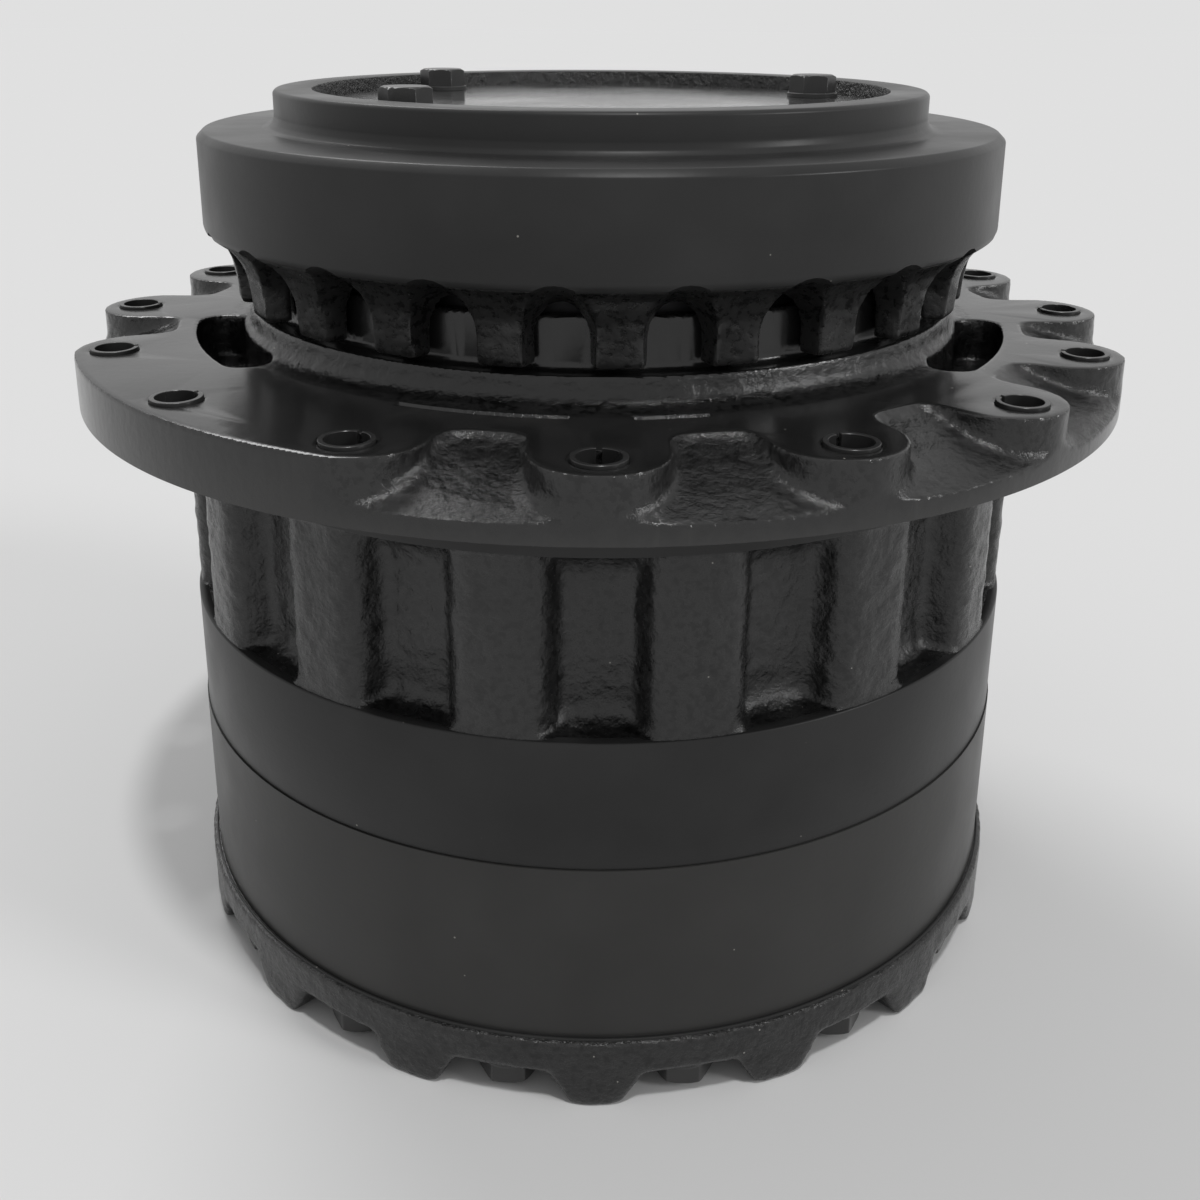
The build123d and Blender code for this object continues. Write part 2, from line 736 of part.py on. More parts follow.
def first_carrier():
    plate = ring(sun_neck_radius, first_plate_radius, z_first_plate,
                 z_first_plate + first_plate)
    holes = [rod(first_pin_radius, z_first_plate, z_first_plate + first_plate,
                 polar(first_planet_circle_radius, angle)) for angle in first_planet_angles]
    return plate - holes


def first_planet_pins():
    return [rod(first_pin_radius, z_joint + end_gap, z_first_plate + first_plate,
                polar(first_planet_circle_radius, angle)) for angle in first_planet_angles]


def first_planet(angle):
    sun_tooth = sun_phase(first_sun_teeth, first_planet_teeth, first_planet_angles[0])
    phase = planet_phase(first_sun_teeth, first_planet_teeth, angle, sun_tooth)
    place = polar(first_planet_circle_radius, angle)
    high = z_first_planets + first_planet_width
    gear = spur_gear(first_planet_teeth, phase, z_first_planets, high, place)
    return gear - rod(first_pin_radius + running_fit, z_first_planets, high, place)


def input_shaft():
    # Shaft from the motor with the first sun cut on its lower end.
    phase = sun_phase(first_sun_teeth, first_planet_teeth, first_planet_angles[0])
    low = z_joint + thrust_disc_thickness + running_fit
    shaft = spur_gear(first_sun_teeth, phase, low, z_first_planets + first_planet_width)
    high = low + input_shaft_length
    shaft += rod(input_shaft_radius, low, high)
    return shaft - hexagon_rod(input_shaft_radius, high - input_socket_depth, high, (0, 0))


def input_seal():
    return ring(input_shaft_radius + running_fit, input_seal_radius, z_floor_under,
                z_motor_floor)


os.makedirs("parts", exist_ok=True)
save("hub_spindle", hub_spindle())
save("motor_plate", motor_plate())
save("motor_plate_bolts", motor_plate_bolts())
save("drum", drum())
save("flange_sleeves", flange_sleeves())
save("ring_gear", ring_gear())
save("end_cover", end_cover())
save("cover_bolts", cover_bolts())
save("cover_plugs", cover_plugs())
save("thrust_disc", thrust_disc())
save("main_bearing_outer_rings", bearing_outer_rings())
save("main_bearing_inner_rings", bearing_inner_rings())
save("main_bearing_roller_sets", bearing_roller_sets())
save("turning_seal_ring", turning_seal_ring())
save("fixed_seal_ring", fixed_seal_ring())
save("output_carrier", output_carrier())
save("carrier_screws", carrier_screws())
save("output_planet_pins", output_planet_pins())
save("output_sun", output_sun())
save("first_carrier", first_carrier())
save("first_planet_pins", first_planet_pins())
for number, angle in enumerate(output_planet_angles, 1):
    save(f"output_planet_{number}", output_planet(angle))
for number, angle in enumerate(first_planet_angles, 1):
    save(f"first_planet_{number}", first_planet(angle))
save("input_shaft", input_shaft())
save("input_shaft_seal", input_seal())
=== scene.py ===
import bpy
import math
from mathutils import Matrix, Vector


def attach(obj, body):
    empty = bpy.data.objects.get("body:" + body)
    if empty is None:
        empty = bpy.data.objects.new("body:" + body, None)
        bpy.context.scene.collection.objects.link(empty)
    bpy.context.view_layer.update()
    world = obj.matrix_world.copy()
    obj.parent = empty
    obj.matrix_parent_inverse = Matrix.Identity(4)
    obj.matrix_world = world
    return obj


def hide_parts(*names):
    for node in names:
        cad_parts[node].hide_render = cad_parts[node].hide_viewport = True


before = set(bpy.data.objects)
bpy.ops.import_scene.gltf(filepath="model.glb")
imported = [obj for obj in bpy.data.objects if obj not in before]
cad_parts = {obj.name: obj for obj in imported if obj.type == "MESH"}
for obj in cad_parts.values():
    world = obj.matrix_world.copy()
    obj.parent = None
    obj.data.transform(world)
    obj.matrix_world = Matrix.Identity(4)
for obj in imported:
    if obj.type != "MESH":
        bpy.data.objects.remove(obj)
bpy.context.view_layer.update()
mm = 0.001
crispFrom = math.radians(25)  # edges sharper than this keep a crisp line
print("frame loaded")


def linear(hexColour):
    # sRGB hex to the linear values that the nodes want
    parts = [int(hexColour[i:i + 2], 16) / 255 for i in (1, 3, 5)]
    return [c / 12.92 if c <= 0.04045 else ((c + 0.055) / 1.055) ** 2.4 for c in parts] + [1]


def addNode(tree, kind, inputs=None, **settings):
    node = tree.nodes.new(kind)
    for name, value in settings.items():
        setattr(node, name, value)
    for key, value in (inputs or {}).items():
        if isinstance(value, bpy.types.NodeSocket):
            tree.links.new(value, node.inputs[key])
        else:
            node.inputs[key].default_value = value
    return node


def newMaterial(name):
    material = bpy.data.materials.new(name)
    material.use_nodes = True
    tree = material.node_tree
    tree.nodes.clear()
    output = addNode(tree, "ShaderNodeOutputMaterial")
    coords = addNode(tree, "ShaderNodeTexCoord").outputs["Object"]
    return material, tree, output, coords


def pickNothing():
    if bpy.context.object and bpy.context.object.mode != "OBJECT":
        bpy.ops.object.mode_set(mode="OBJECT")
    bpy.ops.object.select_all(action="DESELECT")


def pickOnly(obj):
    pickNothing()
    obj.select_set(True)
    bpy.context.view_layer.objects.active = obj


def copyOfNode(node, name, flatten=True):
    # A CAD node's loose triangles as one joined mesh, its flat areas as single faces if asked
    obj = bpy.data.objects.new(name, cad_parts[node].data.copy())
    bpy.context.scene.collection.objects.link(obj)
    obj.data.materials.clear()
    pickOnly(obj)
    bpy.ops.object.mode_set(mode="EDIT")
    bpy.ops.mesh.select_all(action="SELECT")
    bpy.ops.mesh.remove_doubles(threshold=0.005 * mm)
    if flatten:
        bpy.ops.mesh.dissolve_limited(angle_limit=math.radians(0.4))
    bpy.ops.object.mode_set(mode="OBJECT")
    return obj


def applyModifier(obj, kind, **settings):
    pickOnly(obj)
    modifier = obj.modifiers.new(kind.title(), kind)
    for name, value in settings.items():
        setattr(modifier, name, value)
    bpy.ops.object.modifier_apply(modifier=modifier.name)


def finishPiece(obj, material, body):
    obj.data.materials.clear()
    obj.data.materials.append(material)
    pickOnly(obj)
    bpy.ops.object.shade_smooth_by_angle(angle=crispFrom)
    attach(obj, body)


# Materials: black enamel everywhere outside, bare metals inside

paint = {
    "deep": "#191919",
    "light": "#272727",
    "turnedDeep": "#242424",
    "turnedLight": "#373737",
    "paintedCornerShade": "#0d0d0d",      # painted shade on the flange's collar wall at its foot, under the skirt
    "paintedPitShade": "#050505",        # painted shade in the hollows between the grains of the casting
    # pale colour of sharp edges: wear, and a painted highlight along them
    "wearAndPaintedHighlight": "#4b4a48",
    "dust": "#8d8b86",
    "dustEvery": 16,          # mm between specks before most are thinned out
    "dustSize": (0.045, 0.03),     # where a speck fades out and where it is full
    "dustThinning": 0.66,     # share of the specks that are left out
    "wearAndHighlightCorner": (0.53, 0.62),    # how pointed a corner is where the grey iron and the painted highlight start to show
    "wearAndHighlightMost": 0.5,
    "grain": 5,               # mm, the sand of the casting
    "lumps": 28,              # mm, the uneven mould
    "turningPitch": 1.6,      # mm, coarser than a real feed so that it shows
}


def blended(tree, factor, low, high):
    # Mixes two colours, given as hex or as a socket
    ends = [end if isinstance(end, bpy.types.NodeSocket) else linear(end)
            for end in (low, high)]
    return addNode(tree, "ShaderNodeMix", {"Factor": factor, "A": ends[0], "B": ends[1]},
                   data_type="RGBA").outputs[2]


def stepped(tree, value, start, end, low=0, high=1):
    return addNode(tree, "ShaderNodeMapRange", {"Value": value, "From Min": start,
                                                "From Max": end, "To Min": low,
                                                "To Max": high}).outputs[0]


def noiseAt(tree, vector, size, detail=3, roughness=0.5):
    return addNode(tree, "ShaderNodeTexNoise", {"Vector": vector, "Scale": 1 / (size * mm),
                                                "Detail": detail,
                                                "Roughness": roughness}).outputs[0]


def dustSpecks(tree, coords):
    # A few pale specks of dust and overspray on the black
    cells = addNode(tree, "ShaderNodeTexVoronoi", {"Vector": coords,
                                                   "Scale": 1 / (paint["dustEvery"] * mm)})
    near = stepped(tree, cells.outputs["Distance"], *paint["dustSize"])
    chosen = addNode(tree, "ShaderNodeMath", {0: cells.outputs["Color"],
                                              1: paint["dustThinning"]},
                     operation="GREATER_THAN").outputs[0]
    return addNode(tree, "ShaderNodeMath", {0: near, 1: chosen},
                   operation="MULTIPLY").outputs[0]


def wornAndHighlitEdges(tree):
    # Sharp corners made paler: paint worn thin to the grey iron, and a painted highlight along
    # the edges
    corner = addNode(tree, "ShaderNodeNewGeometry").outputs["Pointiness"]
    return stepped(tree, corner, *paint["wearAndHighlightCorner"], 0, paint["wearAndHighlightMost"])


def turnedAreas(tree, coords, areas):
    # 1 inside areas that are given as (inner radius, outer radius, least height) in mm,
    # with soft edges of a millimetre or two
    parts = addNode(tree, "ShaderNodeSeparateXYZ", {0: coords})
    flat = addNode(tree, "ShaderNodeCombineXYZ", {"X": parts.outputs["X"],
                                                  "Y": parts.outputs["Y"]}).outputs[0]
    radius = addNode(tree, "ShaderNodeVectorMath", {0: flat}, operation="LENGTH")
    total = 0.0
    for inner, outer, low in areas:
        outside = stepped(tree, radius.outputs["Value"], (inner - 1) * mm, (inner + 1) * mm)
        inside = stepped(tree, radius.outputs["Value"], (outer + 1) * mm, (outer - 1) * mm)
        above = stepped(tree, parts.outputs["Z"], (low - 0.8) * mm, low * mm)
        both = addNode(tree, "ShaderNodeMath", {0: outside, 1: inside}, operation="MULTIPLY")
        both = addNode(tree, "ShaderNodeMath", {0: both.outputs[0], 1: above},
                       operation="MULTIPLY")
        total = addNode(tree, "ShaderNodeMath", {0: total, 1: both.outputs[0]},
                        operation="MAXIMUM").outputs[0]
    return total


def castPaint(name, grit, gloss, areas=(), paintedCornerShade=()):
    # Black enamel sprayed on rough cast iron: the grit under it breaks up the highlights
    material, tree, output, coords = newMaterial(name)
    sand = noiseAt(tree, coords, paint["grain"], 5, 0.62)
    lumps = noiseAt(tree, coords, paint["lumps"])
    smooth = turnedAreas(tree, coords, areas)
    # painted shade: dark specks in the hollows of the grain, none on turned faces
    paintedPitShade = stepped(tree, sand, 0.4, 0.5, 0.25, 1)
    paintedPitShade = addNode(tree, "ShaderNodeMath", {0: paintedPitShade, 1: smooth}, operation="MAXIMUM")
    shade = blended(tree, lumps, paint["deep"], paint["light"])
    shade = blended(tree, paintedPitShade.outputs[0], paint["paintedPitShade"], shade)
    # painted shade: these areas are darkened where the collar's foot lies under the skirt
    if paintedCornerShade:
        shade = blended(tree, turnedAreas(tree, coords, paintedCornerShade), shade, paint["paintedCornerShade"])
    # paler sharp edges: wear and a painted highlight
    shade = blended(tree, wornAndHighlitEdges(tree), shade, paint["wearAndPaintedHighlight"])
    shade = blended(tree, dustSpecks(tree, coords), shade, paint["dust"])
    low = addNode(tree, "ShaderNodeBump", {"Height": lumps, "Distance": 1.5 * mm,
                                           "Strength": 0.5})
    bump = addNode(tree, "ShaderNodeBump", {"Height": sand, "Distance": grit * mm,
                                            "Strength": 0.8, "Normal": low.outputs[0]})
    sheen = stepped(tree, sand, 0.35, 0.7, gloss, gloss + 0.18)
    if areas:
        for texture in (low, bump):
            rest = texture.inputs["Strength"].default_value
            tree.links.new(stepped(tree, smooth, 0, 1, rest, 0.06), texture.inputs["Strength"])
        sheen = addNode(tree, "ShaderNodeMix", {"Factor": smooth, "A": sheen, "B": 0.2},
                        data_type="FLOAT").outputs[0]
    shader = addNode(tree, "ShaderNodeBsdfPrincipled", {
        "Base Color": shade, "Roughness": sheen, "Normal": bump.outputs[0]})
    tree.links.new(shader.outputs[0], output.inputs[0])
    return material


def latheCoords(tree, coords, stretch, pitch):
    # Runs with the lathe tool: long round the axis, short across it
    parts = addNode(tree, "ShaderNodeSeparateXYZ", {0: coords})
    flat = addNode(tree, "ShaderNodeCombineXYZ", {"X": parts.outputs["X"],
                                                  "Y": parts.outputs["Y"]}).outputs[0]
    heading = addNode(tree, "ShaderNodeVectorMath", {0: flat}, operation="NORMALIZE")
    radius = addNode(tree, "ShaderNodeVectorMath", {0: flat}, operation="LENGTH")
    across = addNode(tree, "ShaderNodeMath", {0: radius.outputs["Value"],
                                              1: parts.outputs["Z"]}, operation="ADD")
    lifted = addNode(tree, "ShaderNodeCombineXYZ", {"Z": across.outputs[0]})
    around = addNode(tree, "ShaderNodeVectorMath", {0: heading.outputs[0],
                                                    1: (stretch, stretch, stretch)},
                     operation="MULTIPLY")
    steps = addNode(tree, "ShaderNodeVectorMath", {0: lifted.outputs[0],
                                                   1: (1, 1, 1 / (pitch * mm))},
                    operation="MULTIPLY")
    return addNode(tree, "ShaderNodeVectorMath", {0: around.outputs[0], 1: steps.outputs[0]},
                   operation="ADD").outputs[0]


def machinedPaint(name, gloss, marks, shine=0.5):
    # The same enamel on turned faces: smooth orange peel over the faint marks of the tool
    material, tree, output, coords = newMaterial(name)
    peel = noiseAt(tree, coords, 5, 2)
    cloud = noiseAt(tree, coords, 70, 4)
    turned = addNode(tree, "ShaderNodeTexNoise", {
        "Vector": latheCoords(tree, coords, 3, paint["turningPitch"]), "Scale": 1.0,
        "Detail": 2}).outputs[0]
    shade = blended(tree, cloud, paint["turnedDeep"], paint["turnedLight"])
    # paler sharp edges: wear and a painted highlight
    shade = blended(tree, wornAndHighlitEdges(tree), shade, paint["wearAndPaintedHighlight"])
    shade = blended(tree, dustSpecks(tree, coords), shade, paint["dust"])
    marked = addNode(tree, "ShaderNodeBump", {"Height": turned, "Distance": marks * mm,
                                              "Strength": 0.5})
    bump = addNode(tree, "ShaderNodeBump", {"Height": peel, "Distance": 0.12 * mm,
                                            "Strength": 0.5, "Normal": marked.outputs[0]})
    shader = addNode(tree, "ShaderNodeBsdfPrincipled", {
        "Base Color": shade, "Roughness": stepped(tree, cloud, 0.35, 0.65, gloss, gloss + 0.1),
        "Specular IOR Level": shine, "Normal": bump.outputs[0]})
    tree.links.new(shader.outputs[0], output.inputs[0])
    return material


def bareMetal(name, colour, polish, grain, marks):
    # Metal with no paint: cloudy handling marks in its polish and a fine machined grain
    material, tree, output, coords = newMaterial(name)
    cloud = noiseAt(tree, coords, 9, 4)
    fine = noiseAt(tree, coords, grain, 2)
    bump = addNode(tree, "ShaderNodeBump", {"Height": fine, "Distance": marks * mm,
                                            "Strength": 0.5})
    shader = addNode(tree, "ShaderNodeBsdfPrincipled", {
        "Base Color": linear(colour), "Metallic": 1.0,
        "Roughness": stepped(tree, cloud, 0.3, 0.7, polish, polish + 0.15),
        "Normal": bump.outputs[0]})
    tree.links.new(shader.outputs[0], output.inputs[0])
    return material


def sealRubber():
    # Moulded nitrile rubber: dull black with a soft bloom
    material, tree, output, coords = newMaterial("mouldedNitrileRubber")
    bloom = noiseAt(tree, coords, 6, 3)
    shader = addNode(tree, "ShaderNodeBsdfPrincipled", {
        "Base Color": blended(tree, bloom, "#1a1a1b", "#2b2b2c"),
        "Roughness": stepped(tree, bloom, 0.3, 0.7, 0.55, 0.75)})
    tree.links.new(shader.outputs[0], output.inputs[0])
    return material


castBlack = castPaint("blackEnamelOnCastIron", 1.5, 0.15)
skirtBlack = castPaint("blackEnamelOnFineCastIron", 0.5, 0.22)
# the flange's turned faces stay smooth, and its collar foot gets painted shade
flangeBlack = castPaint("blackEnamelOnFlange", 1.2, 0.08,
                        ((364.2, 400, 300), (270, 400, 435.6), (0, 249.6, 452)),
                        ((249.7, 254.5, 438),))
roughBlack = castPaint("blackEnamelOnRoughCastIron", 4, 0.12)
machinedBlack = machinedPaint("blackEnamelOnTurnedIron", 0.3, 0.08, 0.2)
boltBlack = machinedPaint("blackEnamelOnForgedBolts", 0.26, 0)
plateBlack = machinedPaint("blackEnamelOnGroundPlate", 0.1, 0.2, 1.0)
gearSteel = bareMetal("caseHardenedGearSteel", "#8a8c90", 0.25, 1.5, 0.02)
carrierIron = bareMetal("machinedNodularIron", "#6d6c6a", 0.4, 2.5, 0.08)
bearingSteel = bareMetal("lappedBearingSteel", "#a9abae", 0.12, 1.2, 0.005)
sealIron = bareMetal("chilledSealIron", "#2e2e2f", 0.5, 1.2, 0.02)
wearBronze = bareMetal("castLeadedBronze", "#a5753f", 0.3, 2, 0.04)
rubber = sealRubber()
print("materials made")


def placedOnCircle(radius, degrees):
    # A place on a circle round the axis, in degrees from the front towards +X
    turn = math.radians(degrees - 90)
    return Vector((math.cos(turn), math.sin(turn), 0)) * radius * mm


def joined(pieces, name):
    pickNothing()
    for piece in pieces:
        piece.select_set(True)
    bpy.context.view_layer.objects.active = pieces[0]
    if len(pieces) > 1:
        bpy.ops.object.join()
    pieces[0].name = name
    return pieces[0]


def cutAt(obj, height, keep):
    pickOnly(obj)
    bpy.ops.object.mode_set(mode="EDIT")
    bpy.ops.mesh.select_all(action="SELECT")
    bpy.ops.mesh.bisect(plane_co=(0, 0, height * mm), plane_no=(0, 0, 1), use_fill=True,
                        clear_inner=keep == "above", clear_outer=keep == "below")
    bpy.ops.object.mode_set(mode="OBJECT")


def vertsWhere(obj, test):
    # Numbers of the vertices whose radius and height, in mm, pass the test
    return [v.index for v in obj.data.vertices
            if test(math.hypot(v.co.x, v.co.y) / mm, v.co.z / mm)]


def removeWhere(obj, test):
    pickOnly(obj)
    for part in (obj.data.vertices, obj.data.edges, obj.data.polygons):
        part.foreach_set("select", [False] * len(part))
    for i in vertsWhere(obj, test):
        obj.data.vertices[i].select = True
    bpy.ops.object.mode_set(mode="EDIT")
    bpy.ops.mesh.select_mode(type="VERT")
    bpy.ops.mesh.delete(type="VERT")
    bpy.ops.object.mode_set(mode="OBJECT")


def groupWhere(obj, name, test):
    group = obj.vertex_groups.new(name=name)
    group.add(vertsWhere(obj, test), 1, "REPLACE")
    return group.name


def castSkin(obj, settings):
    # Turns a sharp shape into a cast one: even mesh, rounded corners, uneven skin
    applyModifier(obj, "REMESH", mode="VOXEL", voxel_size=settings["voxel"] * mm)
    applyModifier(obj, "SMOOTH", factor=0.5, iterations=settings["rounding"])
    for i, (test, rounds) in enumerate(settings.get("softer", [])):
        applyModifier(obj, "SMOOTH", factor=0.5, iterations=rounds,
                      vertex_group=groupWhere(obj, f"soft{i}", test))
    lumps = bpy.data.textures.new(obj.name + "Lumps", "CLOUDS")
    lumps.noise_scale = settings["lumpSize"] * mm
    applyModifier(obj, "DISPLACE", texture=lumps, texture_coords="LOCAL", mid_level=0.5,
                  strength=settings["lumpHeight"] * mm,
                  vertex_group=groupWhere(obj, "rough", settings["rough"]))
    most = settings["triangles"] / 2   # each face of the even mesh is two triangles
    if len(obj.data.polygons) > most:
        applyModifier(obj, "DECIMATE", ratio=most / len(obj.data.polygons))
    obj.vertex_groups.clear()
    print(obj.name, len(obj.data.polygons))


def drawnLoop(name, points):
    # A closed line of edges drawn from point to point, in mm
    pickNothing()
    bpy.ops.mesh.primitive_plane_add(size=mm)
    obj = bpy.context.object
    obj.name = name
    bpy.ops.object.mode_set(mode="EDIT")
    bpy.ops.mesh.select_all(action="SELECT")
    bpy.ops.mesh.merge(type="CENTER")
    bpy.ops.transform.translate(value=Vector(points[0]) * mm)
    for start, end in zip(points, points[1:] + points[:1]):
        step = (Vector(end) - Vector(start)) * mm
        bpy.ops.mesh.extrude_region_move(TRANSFORM_OT_translate={"value": step})
    bpy.ops.mesh.select_all(action="SELECT")
    bpy.ops.mesh.remove_doubles(threshold=0.01 * mm)
    return obj


def turnedPiece(name, corners, steps=256, rounding=0.8):
    # A ring turned from its half section: corners are (radius, height) in mm
    obj = drawnLoop(name, [(radius, 0, height) for radius, height in corners])
    bpy.ops.mesh.spin(steps=steps, angle=2 * math.pi, center=(0, 0, 0), axis=(0, 0, 1))
    bpy.ops.mesh.select_all(action="SELECT")
    bpy.ops.mesh.remove_doubles(threshold=0.01 * mm)
    bpy.ops.mesh.normals_make_consistent(inside=False)
    bpy.ops.object.mode_set(mode="OBJECT")
    if rounding:
        applyModifier(obj, "BEVEL", width=rounding * mm, segments=2, limit_method="ANGLE",
                      angle_limit=math.radians(15))
    return obj


def drawnBlock(name, points, push):
    # A block with the drawn outline, pushed out along one direction
    obj = drawnLoop(name, points)
    bpy.ops.mesh.edge_face_add()
    bpy.ops.mesh.extrude_region_move(TRANSFORM_OT_translate={"value": Vector(push) * mm})
    bpy.ops.mesh.select_all(action="SELECT")
    bpy.ops.mesh.normals_make_consistent(inside=False)
    bpy.ops.object.mode_set(mode="OBJECT")
    return obj


def atDegrees(degrees, out, side, height):
    # A point in mm, so far out from the axis and aside, in a direction from the front
    turn = math.radians(degrees - 90)
    return (out * math.cos(turn) - side * math.sin(turn),
            out * math.sin(turn) + side * math.cos(turn), height)


def arcSlot(inner, outer, start, end, height, roundEnds=True):
    # Outline of a slot along an arc round the axis, with round or square ends
    middle, half = (inner + outer) / 2, (outer - inner) / 2
    count = 8
    angles = [start + (end - start) * i / count for i in range(count + 1)]
    bends = [math.pi * i / count for i in range(1, count)]
    points = [atDegrees(a, outer, 0, height) for a in angles]
    if roundEnds:
        points += [atDegrees(end, middle + half * math.cos(a), half * math.sin(a), height)
                   for a in bends]
    points += [atDegrees(a, inner, 0, height) for a in reversed(angles)]
    if roundEnds:
        points += [atDegrees(start, middle - half * math.cos(a), -half * math.sin(a), height)
                   for a in bends]
    return points


def cutWith(obj, cutters):
    tool = joined(cutters, "cutters")
    applyModifier(obj, "BOOLEAN", object=tool, operation="DIFFERENCE", solver="EXACT")
    bpy.data.objects.remove(tool)


# The hub: a crisp turned ring, the cast skirt under it, the spindle hidden in the drum

hub = {
    "joint": 505,             # where the skirt leaves the ring
    "grooveRadius": 226,
    "recessRadius": 200,
    "ringSection": [(273.5, 505), (276, 506.4), (277, 510), (277, 566.5), (272.5, 571),
                    (234, 571), (230, 572.2), (227.2, 575), (226, 579), (226, 594),
                    (224, 596), (200, 596), (200, 566), (140, 566), (140, 505), (190, 505),
                    (190, 523), (226, 523), (226, 497), (241.5, 497), (241.5, 505)],
    "skirtSection": [(241.5, 458), (254.5, 458), (256.5, 460), (257.6, 474), (259.6, 486),
                     (263, 494.5), (268, 501), (275, 505.6), (275, 507.5),
                     (241.5, 507.5)],
    "arches": 24,
    "firstArch": -5,          # degrees from the front
    "archStart": 236,         # radius of the cutter's inner end
    "archReach": 56,
    "archHalf": 33,           # half width at the outer end
    "archFoot": 450,
    "archTop": 517,
    "archNarrow": 0.41,       # what is left of the width and height at the inner end
    "archLow": 0.61,
    "skirt": {"voxel": 1.6, "rounding": 2, "lumpSize": 14, "lumpHeight": 1.0,
              "triangles": 170000, "rough": lambda r, z: z < 500},
}


def archCutter(degrees):
    # One gap of the skirt: a round crown that comes down and narrows towards the axis
    half, start, foot = hub["archHalf"], hub["archStart"], hub["archFoot"]
    spring = hub["archTop"] - half
    profile = [(-half, foot), (half, foot)]
    profile += [(half * math.cos(a), spring + half * math.sin(a))
                for a in [math.pi * i / 16 for i in range(17)]]
    block = drawnBlock("arch", [atDegrees(degrees, start, side, height)
                                for side, height in profile],
                       atDegrees(degrees, hub["archReach"], 0, 0))
    outwards = Vector(atDegrees(degrees, 1, 0, 0))
    sideways = Vector(atDegrees(degrees, 0, 1, 0))
    for vertex in block.data.vertices:
        if vertex.co.dot(outwards) < (start + 1) * mm:
            vertex.co -= sideways * vertex.co.dot(sideways) * (1 - hub["archNarrow"])
            vertex.co.z = foot * mm + (vertex.co.z - foot * mm) * hub["archLow"]
    return block


def archCutters():
    return [archCutter(hub["firstArch"] + 360 / hub["arches"] * i)
            for i in range(hub["arches"])]


hubRing = turnedPiece("hubRing", hub["ringSection"])
cutWith(hubRing, archCutters())
hubSkirt = turnedPiece("hubSkirt", hub["skirtSection"], rounding=0)
cutWith(hubSkirt, archCutters())
hubSpindle = copyOfNode("hub_spindle", "hubSpindle", flatten=False)
cutAt(hubSpindle, hub["joint"], "below")
# the turned ring and the skirt stand where the outer part goes
removeWhere(hubSpindle, lambda r, z: r > hub["grooveRadius"] - 1)
castSkin(hubSkirt, hub["skirt"])
for piece, material, slot in ((hubRing, machinedBlack, "black_machined_paint"),
                              (hubSkirt, skirtBlack, "black_cast_paint"),
                              (hubSpindle, machinedBlack, "black_machined_paint")):
    finishPiece(piece, material, "hub")
    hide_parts("hub_spindle")
hubRing.data.materials.append(roughBlack)
for face in hubRing.data.polygons:
    # the recess round the motor plate was left as cast
    out = math.hypot(face.center.x, face.center.y) / mm
    if abs(out - hub["recessRadius"]) < 1 and abs(face.normal.z) < 0.5:
        face.material_index = 1
print("hub made")

# The drum: one casting with its flange, columns and fillets, and crisp turned bands on it

